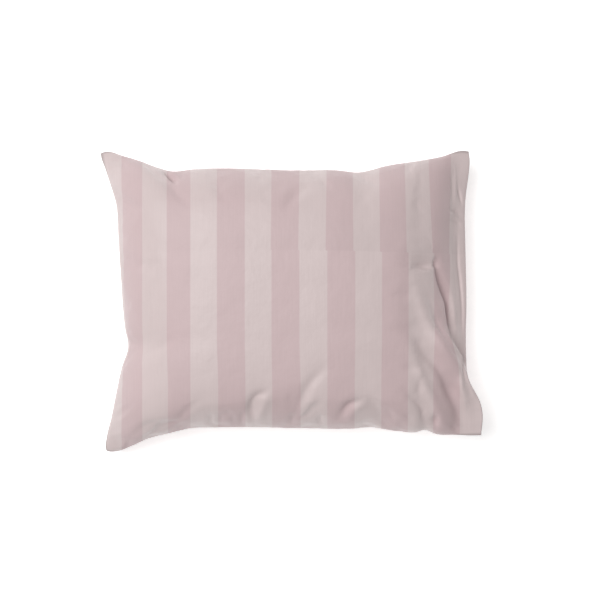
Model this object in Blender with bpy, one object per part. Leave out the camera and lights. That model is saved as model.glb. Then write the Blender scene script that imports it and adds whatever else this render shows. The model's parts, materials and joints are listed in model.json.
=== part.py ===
"""A filled pillowcase of striped sateen, lying on its back, as one closed solid.

The tables are in millimetres and the scene is in metres. +X runs from the sewn end to the
open mouth, +Y from the near long seam to the far one, and +Z is up. The origin lies on the
floor, under the middle of the outline.
"""
import bmesh
import bpy
import numpy as np

MM = 0.001

# Height of the crown over the floor, and of the seams where the sides are full
CROWN_TOP = 150.0
SEAM_HEIGHT = 60.0

# How the top swells inward from each side: the reach is where it is level, a higher
# fullness keeps it level for longer, and a lower roll makes the side steeper
SEWN_END = {"reach": 270.0, "fullness": 3.0, "roll": 0.50}
MOUTH_END = {"reach": 245.0, "fullness": 1.8, "roll": 0.42}
FAR_SIDE = {"reach": 205.0, "fullness": 3.0, "roll": 0.44}
NEAR_SIDE = {"reach": 205.0, "fullness": 3.6, "roll": 0.37}

# Cloth this far from the mouth is slack and holds only a share of the height
SLACK_END = 31.0
SLACK_SHARE = 0.25
WAIST_EASE = 8.5

# The corners are thin ears for about this far, and the ears at the mouth are shorter
SEWN_EAR = 48.0
MOUTH_EAR = 30.0
EAR_THINNING = 0.75

# The underside reaches the floor where its own swelling passes this share
FOOT_SHARE = 0.88
FOOT_EASE = 1.3

# The mouth: two hems with a narrow slit between them, closed towards both corners
HEM_THICKNESS = 1.5
SLIT_WIDTH = 2.4
SLIT_DEPTH = 22.0
HEM_BLEND = 60.0
MOUTH_CORNER = 0.07

# Grid of the cloth: cells along the length and across the width, spaced by the profiles
# over the waist, where the case is this long and this wide
CELLS_ALONG = 60
CELLS_ACROSS = 48
WAIST_LENGTH = 550.0
WAIST_WIDTH = 410.0
PROFILE_SAMPLES = 2000

# Where most folds are, as share at the start, share at the end, and how much finer
FINER_AT_MOUTH = (0.78, 1.0, 1.7)
FINER_BY_NEAR_SIDE = (0.0, 0.55, 1.35)

# Outline of the case, as columns x, y and height, each side from its low share to its high
NEAR_SEAM = [
    (-296, -239, 33),
    (-292, -240, 34),
    (-277, -239, 36),
    (-252, -229, 42),
    (-224, -216, 50),
    (-191, -207, 57),
    (-158, -199, 60),
    (-111, -197, 62),
    (17, -198, 62),
    (95, -199, 62),
    (127, -197, 61),
    (167, -202, 63),
    (199, -204, 65),
    (212, -201, 65),
    (229, -207, 67),
    (262, -208, 75),
    (284, -208, 83),
    (299, -207, 88),
]
FAR_SEAM = [
    (-305, 240, 35),
    (-300, 242, 36),
    (-265, 234, 44),
    (-238, 225, 52),
    (-207, 213, 59),
    (-188, 208, 60),
    (-151, 211, 62),
    (17, 209, 62),
    (77, 209, 62),
    (106, 206, 61),
    (155, 217, 60),
    (199, 224, 58),
    (238, 231, 57),
    (278, 241, 58),
    (284, 240, 58),
]
SEWN_SEAM = [
    (-296, -239, 33),
    (-297, -235, 34),
    (-295, -218, 38),
    (-285, -180, 44),
    (-276, -140, 50),
    (-267, -100, 54),
    (-257, -69, 56),
    (-262, -44, 56),
    (-266, -4, 56),
    (-270, 60, 56),
    (-273, 112, 56),
    (-276, 155, 55),
    (-286, 186, 50),
    (-297, 216, 42),
    (-304, 234, 36),
    (-305, 240, 35),
]
MOUTH_EDGE = [
    (299, -207, 88),
    (300, -171, 92),
    (297, -157, 93),
    (287, -136, 92),
    (280, -123, 89),
    (277, -115, 86),
    (277, -105, 81),
    (278, -88, 70),
    (279, -50, 59),
    (280, -12, 58),
    (279, 60, 57),
    (278, 100, 57),
    (278, 152, 57),
    (280, 176, 57),
    (283, 196, 57),
    (285, 234, 58),
    (284, 240, 58),
]

# How the case fills from the mouth, as columns share from the near corner, pace, and the
# length over which the slack cloth gives way to the filling
MOUTH_FILL = [
    (0.00, 0.50, 8.5),
    (0.08, 0.54, 9.0),
    (0.15, 0.72, 10.0),
    (0.21, 1.12, 10.0),
    (0.27, 1.36, 9.5),
    (0.33, 1.32, 9.0),
    (0.40, 1.14, 9.0),
    (0.48, 1.00, 9.0),
    (0.62, 1.00, 8.5),
    (1.00, 1.00, 8.5),
]
# The pace is felt this far in from the mouth
PACE_REACH = 60.0

# The filling rounds off the corner in the mouth's outline this far in, as a number of the
# cloth's rows to each side, and is fully rounded at this distance from the mouth
ROUNDED_ROWS = 4
ROUNDED_AT = 30.0

# Folds of the top, as columns route of x and y, half width on the route's left, half
# width on its right, and height. A ridge has a height over zero, a trough one under it.
FOLDS = [
    # the dimple where the deep crease starts
    ([(186, 52), (200, 53), (213, 54), (224, 56)], 16, 11, -6),
    # the deep crease down to the notch in the mouth, and the ridge beside it
    ([(229, 64), (239, 35), (249, 4), (251, -27), (256, -55), (262, -76)], 11, 10, -8),
    ([(224, 74), (232, 52), (241, 28), (250, 0)], 11, 20, -6),
    ([(234, -34), (251, -72), (267, -100), (288, -138)], 11, 11, 5.5),
    # the slanting ridges and troughs into the near corner
    ([(189, 30), (209, -27), (225, -58), (243, -88), (256, -111), (269, -145), (278, -186)], 14, 12, 6),
    ([(226, -46), (247, -88), (264, -126), (271, -148)], 12, 13, 6.5),
    ([(187, -44), (207, -76), (234, -108), (247, -136), (259, -161), (268, -190)], 12, 12, -5),
    ([(184, -74), (199, -112), (223, -160), (236, -186)], 12, 12, 4.5),
    ([(176, -134), (202, -160), (207, -190)], 11, 11, -4),
    # puckers along the near seam
    ([(108, -148), (90, -158), (78, -176)], 10, 11, -5),
    ([(50, -102), (32, -122), (22, -140), (10, -172)], 10, 12, -4),
    ([(-38, -136), (-50, -143), (-57, -156), (-56, -178)], 10, 10, -5),
    ([(-33, -142), (-41, -160), (-48, -184)], 10, 9, 3),
    # creases along the far seam and at the sewn end
    ([(-196, 207), (-187, 199), (-176, 187)], 11, 11, -4),
    ([(102, 206), (122, 190), (142, 184)], 10, 11, -2.5),
    ([(-262, -66), (-236, -62)], 11, 11, -2.5),
]

# Folds fade out towards the seams, from this share of the filling's height
FOLD_FADE_SHARE = 0.30

# What is left of a fold's height at the ends of its route, as a share of half a wave
FOLD_END = 0.12

STRIPE_COLOUR = (0.60, 0.50, 0.50, 1.0)
SATEEN_ROUGHNESS = 0.55


def smooth_curve(points):
    """Return a function of the share of length that passes smoothly through the points."""
    points = np.array(points, dtype=float)
    lengths = np.linalg.norm(np.diff(points, axis=0), axis=1)
    stations = np.concatenate(([0.0], np.cumsum(lengths))) / lengths.sum()
    slopes = np.gradient(points, stations, axis=0)

    def at(share):
        share = np.asarray(share, dtype=float)
        k = np.clip(np.searchsorted(stations, share, side="right") - 1, 0, len(lengths) - 1)
        step = (stations[k + 1] - stations[k])[..., None]
        f = (share - stations[k])[..., None] / step
        start = (1 + 2 * f) * (1 - f) ** 2
        leave = f * (1 - f) ** 2 * step
        end = f * f * (3 - 2 * f)
        arrive = f * f * (f - 1) * step
        return start * points[k] + leave * slopes[k] + end * points[k + 1] + arrive * slopes[k + 1]

    return at


def swell(distance, side):
    """Share of the full height at a distance in from one side."""
    inward = np.clip(distance / side["reach"], 0.0, 1.0)
    return (1.0 - (1.0 - inward) ** side["fullness"]) ** side["roll"]


def mouth_swell(distance, ease):
    """Share of the full height at a distance in from the mouth, past its slack cloth."""
    taken_up = 1.0 / (1.0 + np.exp((SLACK_END - distance) / ease))
    return swell(distance, MOUTH_END) * (SLACK_SHARE + (1.0 - SLACK_SHARE) * taken_up)


def column_at(table, share, column=1):
    """Read a column of a table at each share, on a smooth curve through its rows."""
    shares, values = np.array(table, dtype=float)[:, [0, column]].T
    slopes = np.gradient(values, shares)
    row = np.clip(np.searchsorted(shares, share, side="right") - 1, 0, len(shares) - 2)
    step = shares[row + 1] - shares[row]
    part = (share - shares[row]) / step
    start = (1 + 2 * part) * (1 - part) ** 2 * values[row]
    leave = part * (1 - part) ** 2 * step * slopes[row]
    end = part**2 * (3 - 2 * part) * values[row + 1]
    arrive = part**2 * (part - 1) * step * slopes[row + 1]
    return start + leave + end + arrive


def outline_patch(along, across):
    """Blend the four sides of the outline into the level sheet between the two faces."""
    near, far = smooth_curve(NEAR_SEAM)(along), smooth_curve(FAR_SEAM)(along)
    sewn, mouth = smooth_curve(SEWN_SEAM)(across), smooth_curve(MOUTH_EDGE)(across)
    u, v = along[..., None], across[..., None]
    corners = (
        (1 - u) * (1 - v) * np.array(NEAR_SEAM[0], dtype=float)
        + u * (1 - v) * np.array(NEAR_SEAM[-1], dtype=float)
        + (1 - u) * v * np.array(FAR_SEAM[0], dtype=float)
        + u * v * np.array(FAR_SEAM[-1], dtype=float)
    )
    spans = np.linalg.norm(mouth - sewn, axis=-1), np.linalg.norm(far - near, axis=-1)
    return (1 - u) * sewn + u * mouth + (1 - v) * near + v * far - corners, spans


def rounded(lengths):
    """Lengths of a face's rows, averaged over their neighbours across the case."""
    rows = np.arange(-ROUNDED_ROWS, ROUNDED_ROWS + 1)
    weights = np.exp(-((2 * rows / ROUNDED_ROWS) ** 2))
    padded = np.pad(lengths, ((0, 0), (ROUNDED_ROWS, ROUNDED_ROWS)), mode="edge")
    kept = [np.convolve(line, weights / weights.sum(), mode="valid") for line in padded]
    return np.array(kept)


def filled_share(along, across, spans):
    """Share of the full height that the filling gives each point of a face."""
    length, width = spans
    share = swell(along * length, SEWN_END)
    from_mouth = (1 - along) * length
    from_mouth = from_mouth + (rounded(length) - length) * np.clip(from_mouth / ROUNDED_AT, 0.0, 1.0)
    near_mouth = np.exp(-((from_mouth / PACE_REACH) ** 2))
    pace = 1 + (column_at(MOUTH_FILL, across, 1) - 1) * near_mouth
    share = share * mouth_swell(from_mouth * pace, column_at(MOUTH_FILL, across, 2))
    share = share * swell((1 - across) * width, FAR_SIDE) * swell(across * width, NEAR_SIDE)
    for end, ear in ((along, SEWN_EAR), (1 - along, MOUTH_EAR)):
        for side in (across, 1 - across):
            from_corner = np.hypot(end * length, side * width)
            share = share * (1 - EAR_THINNING * np.exp(-((from_corner / ear) ** 2)))
    return share


def fold_height(places, route, left_width, right_width, height):
    """Height that one fold adds at each place, fading out at both ends of its route."""
    route = np.array(route, dtype=float)
    lengths = np.linalg.norm(np.diff(route, axis=0), axis=1)
    starts = np.concatenate(([0.0], np.cumsum(lengths)))
    nearest = np.full(places.shape[:2], np.inf)
    travelled = np.zeros(places.shape[:2])
    width = np.full(places.shape[:2], float(left_width))
    for k, length in enumerate(lengths):
        ahead = (route[k + 1] - route[k]) / length
        offset = places - route[k]
        run = np.clip(offset @ ahead, 0.0, length)
        gap = np.linalg.norm(offset - run[..., None] * ahead, axis=-1)
        on_right = ahead[0] * offset[..., 1] - ahead[1] * offset[..., 0] < 0
        closer = gap < nearest
        nearest = np.where(closer, gap, nearest)
        travelled = np.where(closer, starts[k] + run, travelled)
        width = np.where(closer, np.where(on_right, right_width, left_width), width)
    fade = np.sin(np.pi * (FOLD_END + (1 - 2 * FOLD_END) * travelled / starts[-1]))
    return height * fade * np.exp(-((nearest / width) ** 2))


def stations(count, length, rise, finer):
    """Shares along a profile at equal lengths of cloth, but closer together where finer."""
    shares = np.linspace(0.0, 1.0, PROFILE_SAMPLES + 1)
    lengths = np.hypot(np.diff(shares) * length, np.diff(rise(shares)))
    start, end, factor = finer
    middles = (shares[1:] + shares[:-1]) / 2
    lengths = lengths * np.where((middles > start) & (middles < end), factor, 1.0)
    travelled = np.concatenate(([0.0], np.cumsum(lengths))) / lengths.sum()
    return np.interp(np.linspace(0.0, 1.0, count + 1), travelled, shares)


def cloth_grid():
    """Shares along and across for the grid's lines, closer together on steep cloth."""
    crown = CROWN_TOP - SEAM_HEIGHT

    def along_rise(share):
        from_sewn, from_mouth = share * WAIST_LENGTH, (1 - share) * WAIST_LENGTH
        return crown * swell(from_sewn, SEWN_END) * mouth_swell(from_mouth, WAIST_EASE)

    def across_rise(share):
        from_far, from_near = (1 - share) * WAIST_WIDTH, share * WAIST_WIDTH
        return crown * swell(from_far, FAR_SIDE) * swell(from_near, NEAR_SIDE)

    columns = stations(CELLS_ALONG, WAIST_LENGTH, along_rise, FINER_AT_MOUTH)
    rows = stations(CELLS_ACROSS, WAIST_WIDTH, across_rise, FINER_BY_NEAR_SIDE)
    return np.meshgrid(columns, rows, indexing="ij")


def case_faces():
    """Points of the top, the underside and the slit in the mouth, in millimetres."""
    along, across = cloth_grid()
    sheet, spans = outline_patch(along, across)
    share = filled_share(along, across, spans)

    near_mouth = np.clip(1 - (1 - along) * spans[0] / HEM_BLEND, 0.0, 1.0)
    corner_taper = np.clip(np.minimum(across, 1 - across) / MOUTH_CORNER, 0.0, 1.0)
    corner_taper = corner_taper * (2 - corner_taper)
    hem = (HEM_THICKNESS + SLIT_WIDTH / 2) * near_mouth * corner_taper

    top = sheet.copy()
    folds = np.zeros(share.shape)
    for fold in FOLDS:
        folds = folds + fold_height(sheet[..., :2], *fold)
    seam_fade = np.clip(share / FOLD_FADE_SHARE, 0.0, 1.0)
    top[..., 2] += (CROWN_TOP - sheet[..., 2]) * share + hem + folds * seam_fade

    under = sheet.copy()
    above_floor = np.clip(1 - share / FOOT_SHARE, 0.0, 1.0) ** FOOT_EASE
    under[..., 2] = (sheet[..., 2] - hem) * above_floor

    lips = []
    for half in (SLIT_WIDTH / 2, -SLIT_WIDTH / 2):
        lip = sheet[-1].copy()
        lip[:, 2] += half * corner_taper[-1]
        lips.append(lip)
    slit_end = sheet[-1].copy()
    slit_end[:, 0] -= SLIT_DEPTH * corner_taper[-1]
    for j, x in enumerate(slit_end[:, 0]):
        slit_end[j, 2] = np.interp(x, sheet[:, j, 0], sheet[:, j, 2])
    return top, under, lips[0], lips[1], slit_end


def build_pillowcase():
    """Sew the faces along three seams and close the two hems around the slit."""
    top, under, upper_lip, lower_lip, slit_end = case_faces()
    body = bmesh.new()
    columns, rows = top.shape[:2]

    def add(point):
        return body.verts.new([float(value) * MM for value in point])

    top_verts = [[add(top[i, j]) for j in range(rows)] for i in range(columns)]
    under_verts = []
    for i in range(columns):
        line = []
        for j in range(rows):
            on_seam = i == 0 or j in (0, rows - 1)
            line.append(top_verts[i][j] if on_seam else add(under[i, j]))
        under_verts.append(line)

    for i in range(columns - 1):
        for j in range(rows - 1):
            a, b = top_verts[i], top_verts[i + 1]
            body.faces.new((a[j], b[j], b[j + 1], a[j + 1]))
            a, b = under_verts[i], under_verts[i + 1]
            body.faces.new((a[j + 1], b[j + 1], b[j], a[j]))

    edges = [top_verts[-1]]
    for line in (upper_lip, slit_end, lower_lip):
        inner = [add(point) for point in line[1:-1]]
        edges.append([top_verts[-1][0], *inner, top_verts[-1][-1]])
    edges.append(under_verts[-1])
    for upper, lower in zip(edges, edges[1:]):
        for j in range(rows - 1):
            ring = [upper[j], lower[j], lower[j + 1], upper[j + 1]]
            body.faces.new(list(dict.fromkeys(ring)))

    mesh = bpy.data.meshes.new("pillowcase")
    body.to_mesh(mesh)
    body.free()
    mesh.shade_smooth()
    pillowcase = bpy.data.objects.new("pillowcase", mesh)
    bpy.context.collection.objects.link(pillowcase)
    return pillowcase


def sateen():
    """Dusty pink cotton sateen."""
    material = bpy.data.materials.new("cotton sateen")
    material.use_nodes = True
    shader = material.node_tree.nodes["Principled BSDF"]
    shader.inputs["Base Color"].default_value = STRIPE_COLOUR
    shader.inputs["Roughness"].default_value = SATEEN_ROUGHNESS
    shader.inputs["Metallic"].default_value = 0.0
    return material


def main():
    for item in list(bpy.data.objects):
        bpy.data.objects.remove(item, do_unlink=True)
    build_pillowcase().data.materials.append(sateen())


main()
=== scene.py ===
"""A filled pillowcase of striped cotton sateen, lying on its back under soft studio light.

Sizes in the tables are millimetres of the real case. +X runs from the sewn end to the open
mouth, +Y from the near long seam to the far one, +Z is up, and the floor is at zero.
"""
import json
import math

import bmesh
import bpy
import numpy as np
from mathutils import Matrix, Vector

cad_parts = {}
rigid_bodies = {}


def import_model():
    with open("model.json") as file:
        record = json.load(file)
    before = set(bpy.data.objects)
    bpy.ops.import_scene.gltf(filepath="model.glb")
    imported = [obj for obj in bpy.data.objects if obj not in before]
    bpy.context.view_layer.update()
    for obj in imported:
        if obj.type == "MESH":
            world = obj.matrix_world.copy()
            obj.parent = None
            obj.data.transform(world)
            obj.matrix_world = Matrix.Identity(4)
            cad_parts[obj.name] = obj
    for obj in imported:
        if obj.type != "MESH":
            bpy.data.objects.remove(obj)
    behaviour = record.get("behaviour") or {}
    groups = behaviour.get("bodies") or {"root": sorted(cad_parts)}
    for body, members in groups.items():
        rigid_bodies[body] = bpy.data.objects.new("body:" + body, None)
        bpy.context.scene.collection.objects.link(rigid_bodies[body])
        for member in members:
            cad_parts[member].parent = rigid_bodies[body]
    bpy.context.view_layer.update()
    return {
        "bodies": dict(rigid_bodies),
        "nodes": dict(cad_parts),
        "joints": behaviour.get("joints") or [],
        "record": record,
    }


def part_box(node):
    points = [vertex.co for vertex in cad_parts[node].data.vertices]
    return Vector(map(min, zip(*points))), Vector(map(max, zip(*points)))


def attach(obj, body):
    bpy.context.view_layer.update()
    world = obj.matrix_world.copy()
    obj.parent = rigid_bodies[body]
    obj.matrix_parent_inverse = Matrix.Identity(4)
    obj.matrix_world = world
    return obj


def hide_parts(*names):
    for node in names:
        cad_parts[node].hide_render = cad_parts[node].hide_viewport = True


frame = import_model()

MM = 0.001

# Width of the flat case, before it was filled
FLAT_WIDTH = 500.0

# The frame gives the crown's height
CROWN_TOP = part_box("pillowcase")[1][2] / MM

# How the top swells inward from each side: the reach is where it is level, a higher
# fullness keeps it level for longer, and a lower roll makes the side steeper
SEWN_END = {"reach": 270.0, "fullness": 3.0, "roll": 0.50}
MOUTH_END = {"reach": 245.0, "fullness": 1.8, "roll": 0.42}
FAR_SIDE = {"reach": 205.0, "fullness": 3.0, "roll": 0.44}
NEAR_SIDE = {"reach": 205.0, "fullness": 3.6, "roll": 0.37}

# Cloth this far from the mouth is slack and holds only a share of the height
SLACK_END = 31.0
SLACK_SHARE = 0.25
WAIST_EASE = 8.5

# The corners are thin ears for about this far, and the ears at the mouth are shorter
SEWN_EAR = 48.0
MOUTH_EAR = 30.0
EAR_THINNING = 0.75

# The underside reaches the floor where its own swelling passes this share
FOOT_SHARE = 0.88
FOOT_EASE = 1.3

# Outline of the case, as columns x, y and height, each side from its low share to its high
NEAR_SEAM = [
    (-296, -239, 33),
    (-292, -240, 34),
    (-277, -239, 36),
    (-252, -229, 42),
    (-224, -216, 50),
    (-191, -207, 57),
    (-158, -199, 60),
    (-111, -197, 62),
    (17, -198, 62),
    (95, -199, 62),
    (127, -197, 61),
    (167, -202, 63),
    (199, -204, 65),
    (212, -201, 65),
    (229, -207, 67),
    (262, -208, 75),
    (284, -208, 83),
    (299, -207, 88),
]
FAR_SEAM = [
    (-305, 240, 35),
    (-300, 242, 36),
    (-265, 234, 44),
    (-238, 225, 52),
    (-207, 213, 59),
    (-188, 208, 60),
    (-151, 211, 62),
    (17, 209, 62),
    (77, 209, 62),
    (106, 206, 61),
    (155, 217, 60),
    (199, 224, 58),
    (238, 231, 57),
    (278, 241, 58),
    (284, 240, 58),
]
SEWN_SEAM = [
    (-296, -239, 33),
    (-297, -235, 34),
    (-295, -218, 38),
    (-285, -180, 44),
    (-276, -140, 50),
    (-267, -100, 54),
    (-257, -69, 56),
    (-262, -44, 56),
    (-266, -4, 56),
    (-270, 60, 56),
    (-273, 112, 56),
    (-276, 155, 55),
    (-286, 186, 50),
    (-297, 216, 42),
    (-304, 234, 36),
    (-305, 240, 35),
]
MOUTH_EDGE = [
    (299, -207, 88),
    (300, -171, 92),
    (297, -157, 93),
    (287, -136, 92),
    (280, -123, 89),
    (277, -115, 86),
    (277, -105, 81),
    (278, -88, 70),
    (279, -50, 59),
    (280, -12, 58),
    (279, 60, 57),
    (278, 100, 57),
    (278, 152, 57),
    (280, 176, 57),
    (283, 196, 57),
    (285, 234, 58),
    (284, 240, 58),
]

# How the case fills from the mouth, as columns share from the near corner, pace, and the
# length over which the slack cloth gives way to the filling
MOUTH_FILL = [
    (0.00, 0.50, 8.5),
    (0.08, 0.54, 9.0),
    (0.15, 0.72, 10.0),
    (0.21, 1.12, 10.0),
    (0.27, 1.36, 9.5),
    (0.33, 1.32, 9.0),
    (0.40, 1.14, 9.0),
    (0.48, 1.00, 9.0),
    (0.62, 1.00, 8.5),
    (1.00, 1.00, 8.5),
]
# The pace is felt this far in from the mouth
PACE_REACH = 60.0

# The filling rounds off the corner in the mouth's outline this far in, as a number of the
# cloth's rows to each side, and is fully rounded at this distance from the mouth
ROUNDED_ROWS = 9
ROUNDED_AT = 30.0

# How far the two hems part at the mouth, as columns share from the near corner, half gap
MOUTH_GAPE = [
    (0.00, 0.0),
    (0.07, 1.6),
    (0.22, 3.2),
    (0.36, 2.0),
    (0.52, 3.6),
    (0.70, 4.4),
    (0.86, 2.6),
    (0.95, 1.2),
    (1.00, 0.0),
]
HEM_THICKNESS = 1.3
HEM_BLEND = 60.0
# The cloth turned in at the mouth, as distances in to its rows of points
FLAP_DEPTHS = (6.0, 16.0, 30.0, 44.0)
SEAM_SHARPNESS = 0.8

# Cells of the cloth before it settles, along and across
CELLS_ALONG = 118
CELLS_ACROSS = 96
# Where the folds are small, as share at the start, share at the end, and how much finer
FINER_AT_MOUTH = (0.83, 1.0, 2.2)
FINER_BY_NEAR_SEAM = (0.0, 0.18, 1.6)
PROFILE_SAMPLES = 2000
# The grid's lines are spaced by the profiles over the waist, this long and this wide
WAIST_LENGTH = 550.0
WAIST_WIDTH = 410.0

# Folds of the top that the photograph shows, as columns route of x and y, half width on
# the route's left, half width on its right, and height (a ridge is over zero)
TOP_FOLDS = [
    # the dimple where the deep crease starts
    ([(186, 52), (200, 53), (213, 54), (224, 56)], 16, 2.5, -9.0),
    # the deep crease from the dimple down to the notch in the mouth
    ([(229, 64), (239, 35), (249, 4), (251, -27), (256, -55), (262, -76)], 5, 4.5, -9.0),
    ([(224, 74), (232, 52), (241, 28), (250, 0)], 8, 20, -8.0),
    ([(242, 48), (247, 32), (254, 4), (259, -27), (266, -59)], 4, 5, 2.5),
    ([(264, 104), (265, 59), (268, 35), (271, 4), (272, -27), (272, -48)], 2.5, 3, -2.6),
    # the lit edge beside the deep crease, and the trough behind it
    ([(234, -34), (242, -57), (251, -72), (258, -86), (267, -100), (274, -113), (288, -138)], 5, 7, 8.0),
    ([(240, -50), (246, -63), (258, -86), (267, -100), (274, -113), (288, -138)], 3.5, 3, 2.5),
    ([(213, 10), (225, -27), (238, -58), (252, -89), (266, -114)], 8, 7, -4.0),
    # the slanting ridge into the near corner, and the trough that deepens beside it
    ([(189, 30), (209, -27), (225, -58), (243, -88), (256, -111), (269, -145), (278, -186)], 12, 9, 6.0),
    ([(226, -46), (237, -68), (247, -88), (257, -108), (264, -126), (271, -148)], 10, 12, 9.5),
    ([(187, -44), (207, -76), (234, -108), (247, -136), (259, -161), (268, -190)], 10, 9, -4.8),
    ([(184, -74), (190, -90), (199, -112), (210, -136), (223, -160), (236, -186)], 9, 8, 4.5),
    ([(176, -134), (190, -148), (202, -160), (207, -190)], 7, 7, -4.5),
    ([(224, -170), (226, -192)], 5, 5, -4.0),
    # small tucks in the slack cloth
    ([(250, 146), (259, 143), (270, 137)], 2.2, 2.4, -3.0),
    ([(250, 139), (260, 137), (270, 131)], 2.4, 2.6, 2.0),
    ([(251, 130), (262, 127), (270, 120)], 2.4, 2.4, -2.0),
    ([(265, 182), (271, 156)], 2.2, 2.2, -3.0),
    ([(255, 200), (255, 150)], 2.2, 2.2, -1.6),
    ([(261, 214), (261, 154)], 2.0, 2.0, 1.2),
    ([(249, 104), (253, 60), (256, 20), (262, -20)], 5, 6, 1.6),
    # puckers along the near seam
    ([(-38, -136), (-50, -143), (-57, -156), (-56, -178)], 4.5, 7, -6.0),
    ([(-33, -142), (-41, -160), (-48, -184)], 7, 6, 3.6),
    ([(-120, -170), (-123, -192)], 5, 5, -3.0),
    ([(-104, -172), (-109, -190)], 4, 5, -2.4),
    ([(-88, -174), (-86, -192)], 4, 4, -2.4),
    ([(-72, -168), (-76, -192)], 4, 5, -3.6),
    ([(50, -102), (32, -122), (22, -140), (10, -172)], 7, 9, -4.0),
    ([(34, -148), (24, -160), (15, -178)], 5, 6, 3.0),
    ([(4, -172), (2, -192)], 4, 4, -3.0),
    ([(46, -172), (48, -190)], 5, 5, -3.0),
    ([(30, -168), (14, -178)], 4, 4, -2.2),
    ([(108, -148), (90, -158), (78, -176)], 4.5, 8, -5.5),
    ([(112, -156), (96, -168), (88, -184)], 6, 8, 2.6),
    ([(146, -160), (160, -182)], 6, 6, -2.5),
    ([(176, -168), (188, -186)], 6, 6, -2.0),
    ([(218, -176), (228, -194)], 7, 7, -2.2),
    ([(250, -190), (264, -200)], 4, 4, -2.0),
    # small creases along the far seam
    ([(-196, 207), (-187, 199), (-176, 187)], 3.5, 4, -9.0),
    ([(-186, 206), (-169, 189)], 4, 4, 2.0),
    ([(-50, 200), (-40, 188)], 4, 5, -1.5),
    ([(46, 192), (62, 172)], 5, 5, -1.5),
    ([(102, 206), (122, 190), (142, 184)], 5, 7, -2.2),
    # the sewn end, and where the filling stops short of the near ear
    ([(-258, -222), (-240, -205), (-218, -190), (-192, -186), (-160, -190)], 7, 11, -4.0),
    ([(-216, 24), (-206, -8)], 6, 6, -1.2),
    ([(-262, -66), (-236, -62)], 7, 7, -2.2),
]

# The press crease from storage, as columns x and y along it
PRESS_CREASE = [(-232, 76), (-120, 79), (0, 79), (90, 78), (176, 76)]
PRESS_DEPTH = 1.3
PRESS_HALF_WIDTH = 22.0
# It fades out over this share of its length at each end
PRESS_FADE = 0.1

# The filling presses the cloth out for this many frames; cloth near the seams, the mouth
# and the floor is held, and nothing moves further than the limit
SETTLE_FRAMES = 20
SETTLE_PRESSURE = 4.0
SETTLE_QUALITY = 6
SETTLE_MASS = 0.15
SETTLE_SLACK = -0.012
SETTLE_HELD = 16.0
SETTLE_LIMIT = 5.0
MOUTH_HELD = (50.0, 110.0)
FLOOR_HELD = 6.0

# Within this distance of the case's edges a fold moves the cloth up and down alone
EDGE_KEEPS = 30.0
# and within this distance it fades out, because the seam or hem is stiffer
HEM_STIFF = 7.0

# What is left of a fold's height at the ends of its route, as a share of half a wave
FOLD_END = 0.10
# Points read from the smooth route of a fold for each one in its row
ROUTE_POINTS = 4

# A point belongs wholly to the top where its normal rises at least this much
FACING_UP = 0.25

# Stripes of equal width, from the first border after the sewn end
STRIPE = 41.5
FIRST_BORDER = 33.0
LAST_STRIPE = 34.0
# The first stripe keeps this width where the sewn end turns under and hides it
FIRST_STRIPE_KEEPS = 14.0

# Where the picture shows the borders, at the crown's height: columns x at the far seam,
# x below the press crease, and x by the near seam
BORDERS = [
    (-252, -252, -252),
    (-221, -221, -221),
    (-184, -184, -182),
    (-149, -149, -149),
    (-109, -109, -107),
    (-67, -67, -66),
    (-27, -27, -26),
    (15, 15, 17),
    (56, 57, 57),
    (95, 99, 98),
    (135, 139, 138),
    (173, 179, 178),
    (209, 218, 216),
    (242, 241, 256),
]
CLOTH_END = FIRST_BORDER + STRIPE * (len(BORDERS) - 1) + LAST_STRIPE
FAR_DRIFT = (76.0, 200.0)
NEAR_DRIFT = (-60.0, -120.0)

# The cloth beyond the press crease lies this much further from the sewn end, growing
# from nothing at the first of these lengths of cloth to all of it at the second
PRESS_SHIFT = 3.0
PRESS_SHIFT_GROWS = (240.0, 380.0)
# and the cloth before the crease is painted this share lighter there: a painted sheen where the crease
# tilts the satin towards the light
PRESS_PAINTED_SHEEN = 0.03

# The sateen's two yarns, and how wide a border is, as a share of the stripes' wave
LIGHT_STRIPE = "#D2C2C1"
DARK_STRIPE = "#CBB5B6"
BORDER_BLUR = 0.04
# Half the width over which the press crease parts the stripes
PRESS_BLUR = 0.4

# Threads as they are drawn, uneven dye, and the crumples of washed cloth
THREAD_WIDTH = 2.0
THREAD_LENGTH = 70.0
THREAD_HEIGHT = 0.12
MOTTLE_SIZE = 60.0
CRUMPLE_SIZE = 26.0
CRUMPLE_HEIGHT = 1.6

# Shade along the seams: its width, and the tone left at the very edge. The hem's is
# narrower by the factor.
SEAM_SHADE = 6.0
SEAM_TONE = 0.58
HEM_NARROWER = 2.5

# The camera looks straight down from this far over the floor
CAMERA_HEIGHT = 1750.0
CAMERA_AT = np.array((15.9, 4.0))
FOCAL_PIXELS = 1065.0
FRAME_PIXELS = 600.0
SENSOR_MM = 36.0

# The studio, in metres and watts
VIEW_END = 60.0
FLOOR_SIZE = 40.0
# the floor's glow is painted light, which thins out the shadows on it
FLOOR_GLOW = 0.45
KEY_PLACE = (-1.0, 0.55, 2.55)
KEY_AIM = (0.0, 0.0, 0.08)
KEY_SIZE = (1.5, 1.5)
KEY_WATTS = 51.0
ROOM_STRENGTH = 0.36


def smooth_curve(points):
    """Return a function of the share of length that passes smoothly through the points."""
    points = np.array(points, dtype=float)
    lengths = np.linalg.norm(np.diff(points, axis=0), axis=1)
    stations = np.concatenate(([0.0], np.cumsum(lengths))) / lengths.sum()
    slopes = np.gradient(points, stations, axis=0)

    def at(share):
        share = np.asarray(share, dtype=float)
        k = np.clip(np.searchsorted(stations, share, side="right") - 1, 0, len(lengths) - 1)
        step = (stations[k + 1] - stations[k])[..., None]
        f = (share - stations[k])[..., None] / step
        start = (1 + 2 * f) * (1 - f) ** 2
        leave = f * (1 - f) ** 2 * step
        end = f * f * (3 - 2 * f)
        arrive = f * f * (f - 1) * step
        return start * points[k] + leave * slopes[k] + end * points[k + 1] + arrive * slopes[k + 1]

    return at


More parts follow.
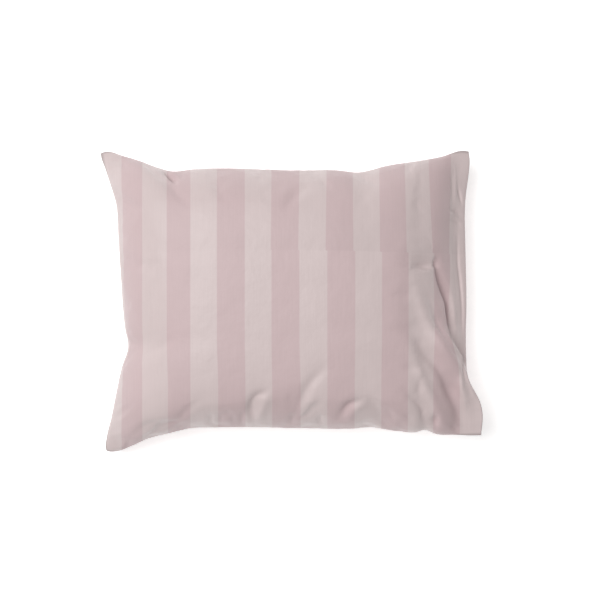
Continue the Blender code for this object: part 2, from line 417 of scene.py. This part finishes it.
def swell(distance, side):
    """Share of the full height at a distance in from one side."""
    inward = np.clip(distance / side["reach"], 0.0, 1.0)
    return (1.0 - (1.0 - inward) ** side["fullness"]) ** side["roll"]


def mouth_swell(distance, ease):
    """Share of the full height at a distance in from the mouth, past its slack cloth."""
    taken_up = 1.0 / (1.0 + np.exp((SLACK_END - distance) / ease))
    return swell(distance, MOUTH_END) * (SLACK_SHARE + (1.0 - SLACK_SHARE) * taken_up)


def column_at(table, share, column=1):
    """Read a column of a table at each share, on a smooth curve through its rows."""
    shares, values = np.array(table, dtype=float)[:, [0, column]].T
    slopes = np.gradient(values, shares)
    row = np.clip(np.searchsorted(shares, share, side="right") - 1, 0, len(shares) - 2)
    step = shares[row + 1] - shares[row]
    part = (share - shares[row]) / step
    start = (1 + 2 * part) * (1 - part) ** 2 * values[row]
    leave = part * (1 - part) ** 2 * step * slopes[row]
    end = part**2 * (3 - 2 * part) * values[row + 1]
    arrive = part**2 * (part - 1) * step * slopes[row + 1]
    return start + leave + end + arrive


def outline_patch(along, across):
    """Blend the four sides of the outline into the level sheet between the two faces."""
    near, far = smooth_curve(NEAR_SEAM)(along), smooth_curve(FAR_SEAM)(along)
    sewn, mouth = smooth_curve(SEWN_SEAM)(across), smooth_curve(MOUTH_EDGE)(across)
    u, v = along[..., None], across[..., None]
    corners = (
        (1 - u) * (1 - v) * np.array(NEAR_SEAM[0], dtype=float)
        + u * (1 - v) * np.array(NEAR_SEAM[-1], dtype=float)
        + (1 - u) * v * np.array(FAR_SEAM[0], dtype=float)
        + u * v * np.array(FAR_SEAM[-1], dtype=float)
    )
    spans = np.linalg.norm(mouth - sewn, axis=-1), np.linalg.norm(far - near, axis=-1)
    return (1 - u) * sewn + u * mouth + (1 - v) * near + v * far - corners, spans


def rounded(lengths):
    """Lengths of a face's rows, averaged over their neighbours across the case."""
    rows = np.arange(-ROUNDED_ROWS, ROUNDED_ROWS + 1)
    weights = np.exp(-((2 * rows / ROUNDED_ROWS) ** 2))
    padded = np.pad(lengths, ((0, 0), (ROUNDED_ROWS, ROUNDED_ROWS)), mode="edge")
    kept = [np.convolve(line, weights / weights.sum(), mode="valid") for line in padded]
    return np.array(kept)


def filled_share(along, across, spans):
    """Share of the full height that the filling gives each point of a face."""
    length, width = spans
    share = swell(along * length, SEWN_END)
    from_mouth = (1 - along) * length
    from_mouth = from_mouth + (rounded(length) - length) * grown(0.0, ROUNDED_AT, from_mouth)
    near_mouth = np.exp(-((from_mouth / PACE_REACH) ** 2))
    pace = 1 + (column_at(MOUTH_FILL, across, 1) - 1) * near_mouth
    share = share * mouth_swell(from_mouth * pace, column_at(MOUTH_FILL, across, 2))
    share = share * swell((1 - across) * width, FAR_SIDE) * swell(across * width, NEAR_SIDE)
    for end, ear in ((along, SEWN_EAR), (1 - along, MOUTH_EAR)):
        for side in (across, 1 - across):
            from_corner = np.hypot(end * length, side * width)
            share = share * (1 - EAR_THINNING * np.exp(-((from_corner / ear) ** 2)))
    return share


def stations(count, length, rise, finer):
    """Shares along a profile at equal lengths of cloth, but closer together where finer."""
    shares = np.linspace(0.0, 1.0, PROFILE_SAMPLES + 1)
    lengths = np.hypot(np.diff(shares) * length, np.diff(rise(shares)))
    start, end, factor = finer
    middles = (shares[1:] + shares[:-1]) / 2
    lengths = lengths * np.where((middles > start) & (middles < end), factor, 1.0)
    travelled = np.concatenate(([0.0], np.cumsum(lengths))) / lengths.sum()
    return np.interp(np.linspace(0.0, 1.0, count + 1), travelled, shares)


def cloth_grid():
    """Shares along and across for the grid's lines."""
    crown = CROWN_TOP - np.mean([height for _, _, height in FAR_SEAM])

    def along_rise(share):
        from_sewn, from_mouth = share * WAIST_LENGTH, (1 - share) * WAIST_LENGTH
        return crown * swell(from_sewn, SEWN_END) * mouth_swell(from_mouth, WAIST_EASE)

    def across_rise(share):
        from_far, from_near = (1 - share) * WAIST_WIDTH, share * WAIST_WIDTH
        return crown * swell(from_far, FAR_SIDE) * swell(from_near, NEAR_SIDE)

    columns = stations(CELLS_ALONG, WAIST_LENGTH, along_rise, FINER_AT_MOUTH)
    rows = stations(CELLS_ACROSS, WAIST_WIDTH, across_rise, FINER_BY_NEAR_SEAM)
    return np.meshgrid(columns, rows, indexing="ij")


def cloth_travel(points, axis):
    """Length of cloth from the low side of a grid of points to each of them."""
    steps = np.linalg.norm(np.diff(points, axis=axis), axis=-1)
    start = np.zeros_like(np.take(steps, [0], axis=axis))
    return np.concatenate([start, np.cumsum(steps, axis=axis)], axis=axis)


def seen_from_above(face):
    """Where the camera sees each point of a face, carried to the crown's height."""
    nearness = (CAMERA_HEIGHT - CROWN_TOP) / (CAMERA_HEIGHT - face[..., 2:])
    return CAMERA_AT + (face[..., :2] - CAMERA_AT) * nearness


def grown(start, end, value):
    """How far a value is from the start to the end of a range, from 0 to 1."""
    return np.clip((value - start) / (end - start), 0.0, 1.0)


def stripe_travel(face, travel):
    """Length of cloth from the sewn seam to each point, with every border where it shows."""
    seen = seen_from_above(face)
    far, middle, near = np.array(BORDERS, dtype=float).T
    cloth_at = FIRST_BORDER + STRIPE * np.arange(len(BORDERS))
    far = far + PRESS_SHIFT * grown(*PRESS_SHIFT_GROWS, cloth_at)
    result = np.empty_like(travel)
    for j in range(face.shape[1]):
        x = np.maximum.accumulate(seen[:, j, 0])
        y = np.interp(middle, x, seen[:, j, 1])
        borders = middle + (far - middle) * grown(*FAR_DRIFT, y)
        borders = borders + (near - middle) * grown(*NEAR_DRIFT, y)
        borders_at = np.maximum(np.interp(borders, x, travel[:, j]), FIRST_STRIPE_KEEPS)
        knots = [0.0, *borders_at, travel[-1, j]]
        cloth = [0.0, *cloth_at, cloth_at[-1] + LAST_STRIPE]
        result[:, j] = np.interp(travel[:, j], knots, cloth)
    return result


def level_at(sheet, places):
    """Height of the level sheet at one x on each of its lines."""
    return np.array([np.interp(x, sheet[:, j, 0], sheet[:, j, 2]) for j, x in enumerate(places)])


def case_grids():
    """Points and flat cloth positions of the top, the underside and the two flaps."""
    along, across = cloth_grid()
    sheet, spans = outline_patch(along, across)
    share = filled_share(along, across, spans)

    near_mouth = np.clip(1 - (1 - along) * spans[0] / HEM_BLEND, 0.0, 1.0) ** 2
    gape = column_at(MOUTH_GAPE, across)
    hem = (HEM_THICKNESS * np.minimum(gape, 1.0) + gape) * near_mouth

    top = sheet.copy()
    top[..., 2] += (CROWN_TOP - sheet[..., 2]) * share + hem
    under = sheet.copy()
    above_floor = np.clip(1 - share / FOOT_SHARE, 0.0, 1.0) ** FOOT_EASE
    under[..., 2] = (sheet[..., 2] - hem) * above_floor

    travel = cloth_travel(top, 0)
    from_near = cloth_travel(top, 1)
    from_near = from_near * FLAT_WIDTH / from_near[:, -1:]
    from_sewn = stripe_travel(top, travel)
    level = np.zeros_like(from_sewn)
    flat = [np.stack([from_sewn, from_near, level], axis=-1)] * 2

    flaps = []
    for face, side in ((top, 1), (under, -1)):
        rows = []
        for depth in FLAP_DEPTHS:
            row = sheet[-1].copy()
            closing = 1 - (depth / FLAP_DEPTHS[-1]) ** 2
            row[:, 0] -= depth * np.minimum(gape[-1], 1.0)
            row[:, 2] = level_at(sheet, row[:, 0]) + side * gape[-1] * closing
            rows.append(row)
        flaps.append(rows)
    return top, under, flat, flaps


def sew_case():
    """One closed mesh of the case, with its flat cloth positions as a UV map."""
    top, under, flat, flaps = case_grids()
    columns, rows = top.shape[:2]
    body = bmesh.new()
    cloth = body.loops.layers.uv.new("cloth")
    crease = body.edges.layers.float.new("crease_edge")

    def line_of(points):
        return [body.verts.new([float(value) * MM for value in point]) for point in points]

    top_verts = [line_of(top[i]) for i in range(columns)]
    under_verts = [top_verts[0]]
    for i in range(1, columns):
        inner = line_of(under[i][1:-1])
        under_verts.append([top_verts[i][0], *inner, top_verts[i][-1]])

    def add_face(corners, places):
        kept = {}
        for vert, place in zip(corners, places):
            kept.setdefault(vert, place)
        face = body.faces.new(list(kept))
        for loop in face.loops:
            loop[cloth].uv = [float(value) * MM for value in kept[loop.vert][:2]]

    for i in range(columns - 1):
        for j in range(rows - 1):
            ring = ((i, j), (i + 1, j), (i + 1, j + 1), (i, j + 1))
            add_face([top_verts[a][b] for a, b in ring], [flat[0][a, b] for a, b in ring])
            ring = ring[::-1]
            add_face([under_verts[a][b] for a, b in ring], [flat[1][a, b] for a, b in ring])

    ends = top_verts[-1][0], top_verts[-1][-1]
    edges = [(top_verts[-1], flat[0][-1])]
    for depth, row in zip(FLAP_DEPTHS, flaps[0]):
        turned = flat[0][-1] + np.array([depth, 0.0, 0.0])
        edges.append(([ends[0], *line_of(row[1:-1]), ends[1]], turned))
    # the lower flap comes back out from the row where it meets the upper one
    for depth, row in list(zip(FLAP_DEPTHS, flaps[1]))[-2::-1]:
        turned = flat[1][-1] + np.array([depth, 0.0, 0.0])
        edges.append(([ends[0], *line_of(row[1:-1]), ends[1]], turned))
    edges.append((under_verts[-1], flat[1][-1]))

    for (upper, upper_flat), (lower, lower_flat) in zip(edges, edges[1:]):
        for j in range(rows - 1):
            corners = [upper[j], lower[j], lower[j + 1], upper[j + 1]]
            places = [upper_flat[j], lower_flat[j], lower_flat[j + 1], upper_flat[j + 1]]
            add_face(corners, places)

    seams = [top_verts[0]]
    seams += [[line[side] for line in top_verts] for side in (0, -1)]
    for seam in seams:
        for start, end in zip(seam, seam[1:]):
            body.edges.get((start, end))[crease] = SEAM_SHARPNESS

    mesh = bpy.data.meshes.new("case_cloth")
    body.to_mesh(mesh)
    body.free()
    mesh.shade_smooth()
    piece = bpy.data.objects.new("case_cloth", mesh)
    bpy.context.collection.objects.link(piece)
    return piece


def points_of(mesh):
    values = np.empty(len(mesh.vertices) * 3)
    mesh.vertices.foreach_get("co", values)
    return values.reshape(-1, 3)


def normals_of(mesh):
    values = np.empty(len(mesh.vertices) * 3)
    mesh.vertices.foreach_get("normal", values)
    return values.reshape(-1, 3)


def move_points(mesh, points):
    mesh.vertices.foreach_set("co", points.ravel())
    mesh.update()


def along_route(places, route, left_width, right_width):
    """Distance to a route in half widths, and the share of it travelled, at each place."""
    route = np.array(route, dtype=float)
    lengths = np.linalg.norm(np.diff(route, axis=0), axis=1)
    starts = np.concatenate(([0.0], np.cumsum(lengths)))
    nearest = np.full(len(places), np.inf)
    travelled = np.zeros(len(places))
    left = np.zeros(len(places), dtype=bool)
    for k, length in enumerate(lengths):
        ahead = (route[k + 1] - route[k]) / length
        offset = places - route[k]
        run = np.clip(offset @ ahead, 0.0, length)
        gap = np.linalg.norm(offset - run[:, None] * ahead, axis=1)
        closer = gap < nearest
        nearest = np.where(closer, gap, nearest)
        travelled = np.where(closer, starts[k] + run, travelled)
        left = np.where(closer, ahead[0] * offset[:, 1] - ahead[1] * offset[:, 0] > 0, left)
    width = np.where(left, left_width, right_width)
    return nearest / width, travelled / starts[-1]


def refined(route):
    """More points on a fold's route, so that it bends instead of turning corners."""
    if len(route) < 3:
        return route
    flat_route = [(x, y, 0.0) for x, y in route]
    return smooth_curve(flat_route)(np.linspace(0.0, 1.0, ROUTE_POINTS * len(route)))[:, :2]


def fold_heights(places, folds):
    """Height that all the folds together add at each place."""
    total = np.zeros(len(places))
    for route, left_width, right_width, height in folds:
        reach, travelled = along_route(places, refined(route), left_width, right_width)
        fade = np.sin(np.pi * (FOLD_END + (1 - 2 * FOLD_END) * travelled))
        total += height * fade * np.exp(-(reach**2))
    return total


def press_crease_heights(places):
    """A shallow valley with straight sides, left by folding the case for storage."""
    reach, travelled = along_route(
        places, refined(PRESS_CREASE), PRESS_HALF_WIDTH, PRESS_HALF_WIDTH
    )
    fade = grown(0.0, PRESS_FADE, np.minimum(travelled, 1 - travelled))
    return -PRESS_DEPTH * np.clip(1 - reach, 0.0, 1.0) * fade


def flat_places(mesh):
    """The flat cloth position of each face corner, and the point each corner is on."""
    corners = np.empty(len(mesh.loops), dtype=int)
    mesh.loops.foreach_get("vertex_index", corners)
    places = np.empty(len(mesh.loops) * 2)
    mesh.uv_layers["cloth"].uv.foreach_get("vector", places)
    return places.reshape(-1, 2), corners


def from_edges(mesh):
    """Length of cloth from each point to the nearest edge, and to the mouth's edge."""
    places, corners = flat_places(mesh)
    flat = np.empty((len(mesh.vertices), 2))
    flat[corners] = places / MM
    from_mouth = CLOTH_END - flat[:, 0]
    from_sides = np.minimum(flat[:, 1], FLAT_WIDTH - flat[:, 1])
    return np.minimum(from_mouth, np.minimum(flat[:, 0], from_sides)), from_mouth


def move_cloth(mesh, before, after, on_top):
    """Move the points, and slide the stripes so that they still show where they did."""
    move_points(mesh, after * MM)
    places, corners = flat_places(mesh)
    shift = (seen_from_above(after) - seen_from_above(before))[:, 0] * on_top
    places[:, 0] += shift[corners] * MM
    mesh.uv_layers["cloth"].uv.foreach_set("vector", places.ravel())


def settle_cloth(piece):
    """Let the filling press the cloth out between its seams in a short simulation."""
    mesh = piece.data
    before = points_of(mesh) / MM
    on_top = grown(0.0, FACING_UP, normals_of(mesh)[:, 2])
    from_edge, from_mouth = from_edges(mesh)
    loose = grown(0.0, SETTLE_HELD, from_edge) * grown(*MOUTH_HELD, from_mouth)
    loose = loose * grown(0.0, FLOOR_HELD, before[:, 2])
    held = piece.vertex_groups.new(name="held")
    for k, share in enumerate(loose):
        held.add([k], 1.0 - float(share), "REPLACE")

    cloth = piece.modifiers.new("settle", "CLOTH")
    cloth.settings.quality = SETTLE_QUALITY
    cloth.settings.mass = SETTLE_MASS
    cloth.settings.effector_weights.gravity = 0.0
    cloth.settings.use_pressure = True
    cloth.settings.uniform_pressure_force = SETTLE_PRESSURE
    cloth.settings.shrink_min = SETTLE_SLACK
    cloth.settings.vertex_group_mass = held.name
    cloth.point_cache.frame_start, cloth.point_cache.frame_end = 1, SETTLE_FRAMES
    for frame in range(1, SETTLE_FRAMES + 1):
        bpy.context.scene.frame_set(frame)
    bpy.context.view_layer.objects.active = piece
    with bpy.context.temp_override(object=piece, active_object=piece):
        bpy.ops.object.modifier_apply(modifier=cloth.name)
    bpy.context.scene.frame_set(1)
    piece.vertex_groups.clear()

    moved = points_of(mesh) / MM - before
    length = np.maximum(np.linalg.norm(moved, axis=1), 1e-9)
    moved *= (np.minimum(length, SETTLE_LIMIT) / length * loose)[:, None]
    move_cloth(mesh, before, before + moved, on_top)


def crease_cloth(piece):
    """Press the photographed folds into the top, and keep the stripes where they show."""
    mesh = piece.data
    points = points_of(mesh) / MM
    facing = normals_of(mesh)
    on_top = grown(0.0, FACING_UP, facing[:, 2])

    # Near the case's edges the folds lift the cloth and leave the outline where it is
    inward, _ = from_edges(mesh)
    facing[:, :2] *= grown(0.0, EDGE_KEEPS, inward)[:, None]

    heights = fold_heights(points[:, :2], TOP_FOLDS) + press_crease_heights(points[:, :2])
    heights *= grown(0.0, HEM_STIFF, inward)
    creased = points + facing * (heights * on_top)[:, None]
    move_cloth(mesh, points, creased, on_top)

    press = np.array(PRESS_CREASE, dtype=float)
    beyond = creased[:, 1] - np.interp(creased[:, 0], press[:, 0], press[:, 1])
    beyond_press = mesh.attributes.new("beyond_press", "FLOAT", "POINT")
    beyond_press.data.foreach_set("value", beyond * MM)


def smooth_once(piece):
    """One level of subdivision, applied."""
    subdivision = piece.modifiers.new("smooth", "SUBSURF")
    subdivision.levels = subdivision.render_levels = 1
    bpy.context.view_layer.objects.active = piece
    with bpy.context.temp_override(object=piece, active_object=piece):
        bpy.ops.object.modifier_apply(modifier=subdivision.name)


def linear(hex_colour):
    """A hex sRGB colour as linear red, green, blue and full alpha."""
    channels = [int(hex_colour[i : i + 2], 16) / 255 for i in (1, 3, 5)]
    return [c / 12.92 if c <= 0.04045 else ((c + 0.055) / 1.055) ** 2.4 for c in channels] + [1.0]


def node(tree, kind, links=None, **settings):
    """Add a node, set its properties and sockets, and link its inputs."""
    added = tree.nodes.new(kind)
    for name, value in settings.items():
        setattr(added, name, value)
    for socket, value in (links or {}).items():
        target = added.inputs[socket]
        if isinstance(value, bpy.types.NodeSocket):
            tree.links.new(value, target)
        else:
            target.default_value = value
    return added


def sateen_material():
    """Cotton sateen, yarn dyed in two close pinks; long floats of thread give a soft sheen."""
    material = bpy.data.materials.new("cotton_sateen_yarn_dyed_stripe")
    material.use_nodes = True
    tree = material.node_tree
    shader = tree.nodes["Principled BSDF"]

    cloth = node(tree, "ShaderNodeUVMap", uv_map="cloth")
    place = node(tree, "ShaderNodeSeparateXYZ", {0: cloth.outputs["UV"]})

    # The press crease: a step along it in the stripes, and a painted sheen that makes the cloth a touch
    # lighter before it
    beyond = node(tree, "ShaderNodeAttribute", attribute_name="beyond_press")
    far_half = node(
        tree, "ShaderNodeMapRange",
        {"Value": beyond.outputs["Fac"], "From Min": -PRESS_BLUR * MM, "From Max": PRESS_BLUR * MM},
    )
    grown_from, grown_to = PRESS_SHIFT_GROWS
    growth = node(
        tree, "ShaderNodeMapRange",
        {"Value": place.outputs["X"], "From Min": grown_from * MM, "From Max": grown_to * MM},
    )
    step = node(
        tree, "ShaderNodeMath",
        {0: growth.outputs[0], 1: far_half.outputs[0]},
        operation="MULTIPLY",
    )
    along = node(
        tree, "ShaderNodeMath",
        {0: step.outputs[0], 1: PRESS_SHIFT * MM, 2: place.outputs["X"]},
        operation="MULTIPLY_ADD",
    )
    before = node(
        tree, "ShaderNodeMath",
        {0: growth.outputs[0], 1: step.outputs[0]},
        operation="SUBTRACT",
    )
    # painted sheen: the cloth before the press crease is made lighter by this share
    lift = node(
        tree, "ShaderNodeMath",
        {0: before.outputs[0], 1: PRESS_PAINTED_SHEEN, 2: 1.0},
        operation="MULTIPLY_ADD",
    )

    # Stripes: the wave is positive in the darker ones, and its sign changes at each border
    turns = node(
        tree, "ShaderNodeMath",
        {0: along.outputs[0], 1: math.pi / (STRIPE * MM), 2: -math.pi * FIRST_BORDER / STRIPE},
        operation="MULTIPLY_ADD",
    )
    wave = node(tree, "ShaderNodeMath", {0: turns.outputs[0]}, operation="SINE")
    darker = node(
        tree, "ShaderNodeMapRange",
        {"Value": wave.outputs[0], "From Min": -BORDER_BLUR, "From Max": BORDER_BLUR},
    )
    stripes = node(
        tree, "ShaderNodeMix",
        {0: darker.outputs[0], 6: linear(LIGHT_STRIPE), 7: linear(DARK_STRIPE)},
        data_type="RGBA",
    )

    # Threads run along the stripes; real ones are 0.2 mm, drawn 2 mm apart to show
    thread_scale = (1 / (THREAD_WIDTH * MM), 1 / (THREAD_LENGTH * MM), 1.0)
    threads_at = node(
        tree, "ShaderNodeMapping",
        {"Vector": cloth.outputs["UV"], "Scale": thread_scale},
    )
    threads = node(
        tree, "ShaderNodeTexNoise",
        {"Vector": threads_at.outputs[0], "Scale": 1.0, "Detail": 3.0},
        noise_dimensions="2D",
    )
    mottle = node(
        tree, "ShaderNodeTexNoise",
        {"Vector": cloth.outputs["UV"], "Scale": 1 / (MOTTLE_SIZE * MM), "Detail": 4.0},
        noise_dimensions="2D",
    )
    tone = node(
        tree, "ShaderNodeMath",
        {0: threads.outputs["Fac"], 1: 0.06, 2: 0.94},
        operation="MULTIPLY_ADD",
    )
    tone = node(
        tree, "ShaderNodeMath",
        {0: mottle.outputs["Fac"], 1: 0.06, 2: tone.outputs[0]},
        operation="MULTIPLY_ADD",
    )

    # The doubled cloth turned in along the seams lies in its own shade, and that of the
    # pressed hem is narrower
    from_seam = node(
        tree, "ShaderNodeMath",
        {0: place.outputs["Y"], 1: FLAT_WIDTH / 2 * MM},
        operation="PINGPONG",
    )
    from_seam = node(
        tree, "ShaderNodeMath",
        {0: from_seam.outputs[0], 1: place.outputs["X"]},
        operation="MINIMUM",
    )
    from_hem = node(
        tree, "ShaderNodeMath",
        {0: place.outputs["X"], 1: CLOTH_END * MM},
        operation="SUBTRACT",
    )
    from_hem = node(tree, "ShaderNodeMath", {0: from_hem.outputs[0]}, operation="ABSOLUTE")
    from_hem = node(
        tree, "ShaderNodeMath",
        {0: from_hem.outputs[0], 1: HEM_NARROWER},
        operation="MULTIPLY",
    )
    from_edge = node(
        tree, "ShaderNodeMath",
        {0: from_seam.outputs[0], 1: from_hem.outputs[0]},
        operation="MINIMUM",
    )
    shade = node(
        tree, "ShaderNodeMapRange",
        {"Value": from_edge.outputs[0], "From Max": SEAM_SHADE * MM, "To Min": SEAM_TONE},
    )
    # the painted seam shade darkens the tone, and the painted sheen by the press crease lightens it
    for factor in (shade, lift):
        tone = node(
            tree, "ShaderNodeMath",
            {0: tone.outputs[0], 1: factor.outputs[0]},
            operation="MULTIPLY",
        )
    coloured = node(
        tree, "ShaderNodeVectorMath",
        {0: stripes.outputs[2], 1: tone.outputs[0]},
        operation="MULTIPLY",
    )
    tree.links.new(coloured.outputs[0], shader.inputs["Base Color"])

    gloss = node(
        tree, "ShaderNodeMapRange",
        {"Value": darker.outputs[0], "To Min": 0.46, "To Max": 0.56},
    )
    tree.links.new(gloss.outputs[0], shader.inputs["Roughness"])

    # Soft unevenness of washed and pressed cloth, then the threads themselves
    crumple = node(
        tree, "ShaderNodeTexNoise",
        {"Vector": cloth.outputs["UV"], "Scale": 1 / (CRUMPLE_SIZE * MM), "Detail": 4.0,
         "Distortion": 0.1},
        noise_dimensions="2D",
    )
    crumpled = node(
        tree, "ShaderNodeBump",
        {"Height": crumple.outputs["Fac"], "Distance": CRUMPLE_HEIGHT * MM, "Strength": 0.6},
    )
    woven = node(
        tree, "ShaderNodeBump",
        {"Height": threads.outputs["Fac"], "Distance": THREAD_HEIGHT * MM, "Strength": 0.5,
         "Normal": crumpled.outputs[0]},
    )
    tree.links.new(woven.outputs[0], shader.inputs["Normal"])
    shader.inputs["Sheen Weight"].default_value = 0.25
    shader.inputs["Sheen Roughness"].default_value = 0.4
    shader.inputs["Specular IOR Level"].default_value = 0.35
    return material


def floor_material():
    """A matt white acrylic floor that glows a little: painted light, not a lamp, which thins out the
    shadows on it.
    """
    material = bpy.data.materials.new("matt_white_floor_painted_glow")
    material.use_nodes = True
    shader = material.node_tree.nodes["Principled BSDF"]
    shader.inputs["Base Color"].default_value = linear("#FBFBFA")
    shader.inputs["Roughness"].default_value = 0.9
    shader.inputs["Specular IOR Level"].default_value = 0.1
    # painted light: the floor glows though it is no lamp
    shader.inputs["Emission Color"].default_value = linear("#FFFFFF")
    shader.inputs["Emission Strength"].default_value = FLOOR_GLOW
    return material


def lay_floor():
    bpy.ops.object.select_all(action="DESELECT")
    bpy.ops.mesh.primitive_plane_add(size=FLOOR_SIZE, location=(0.0, 0.0, 0.0))
    floor = bpy.context.active_object
    floor.name = "floor"
    floor.data.materials.append(floor_material())


def set_camera():
    """A camera straight over the case, with the photograph's field of view."""
    data = bpy.data.cameras.new("camera")
    data.sensor_width = SENSOR_MM
    data.lens = SENSOR_MM * FOCAL_PIXELS / FRAME_PIXELS
    data.clip_end = VIEW_END
    camera = bpy.data.objects.new("camera", data)
    camera.location = (CAMERA_AT[0] * MM, CAMERA_AT[1] * MM, CAMERA_HEIGHT * MM)
    bpy.context.collection.objects.link(camera)
    bpy.context.scene.camera = camera


def area_light(name, place, aim, size, watts):
    data = bpy.data.lights.new(name, "AREA")
    data.shape = "RECTANGLE"
    data.size, data.size_y = size
    data.energy = watts
    lamp = bpy.data.objects.new(name, data)
    lamp.location = place
    lamp.rotation_euler = (Vector(aim) - Vector(place)).to_track_quat("-Z", "Y").to_euler()
    bpy.context.collection.objects.link(lamp)


def set_lights():
    """One broad soft light, high and a little to the upper left, and pale surroundings."""
    area_light("key", KEY_PLACE, KEY_AIM, KEY_SIZE, KEY_WATTS)
    world = bpy.data.worlds.new("pale_room")
    world.use_nodes = True
    background = world.node_tree.nodes["Background"]
    background.inputs["Color"].default_value = linear("#FFFFFF")
    background.inputs["Strength"].default_value = ROOM_STRENGTH
    bpy.context.scene.world = world
    bpy.context.scene.view_settings.view_transform = "Standard"


def make_case():
    piece = sew_case()
    settle_cloth(piece)
    smooth_once(piece)
    crease_cloth(piece)
    piece.data.materials.append(sateen_material())
    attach(piece, "root")
    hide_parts("pillowcase")


set_camera()
set_lights()
lay_floor()
make_case()
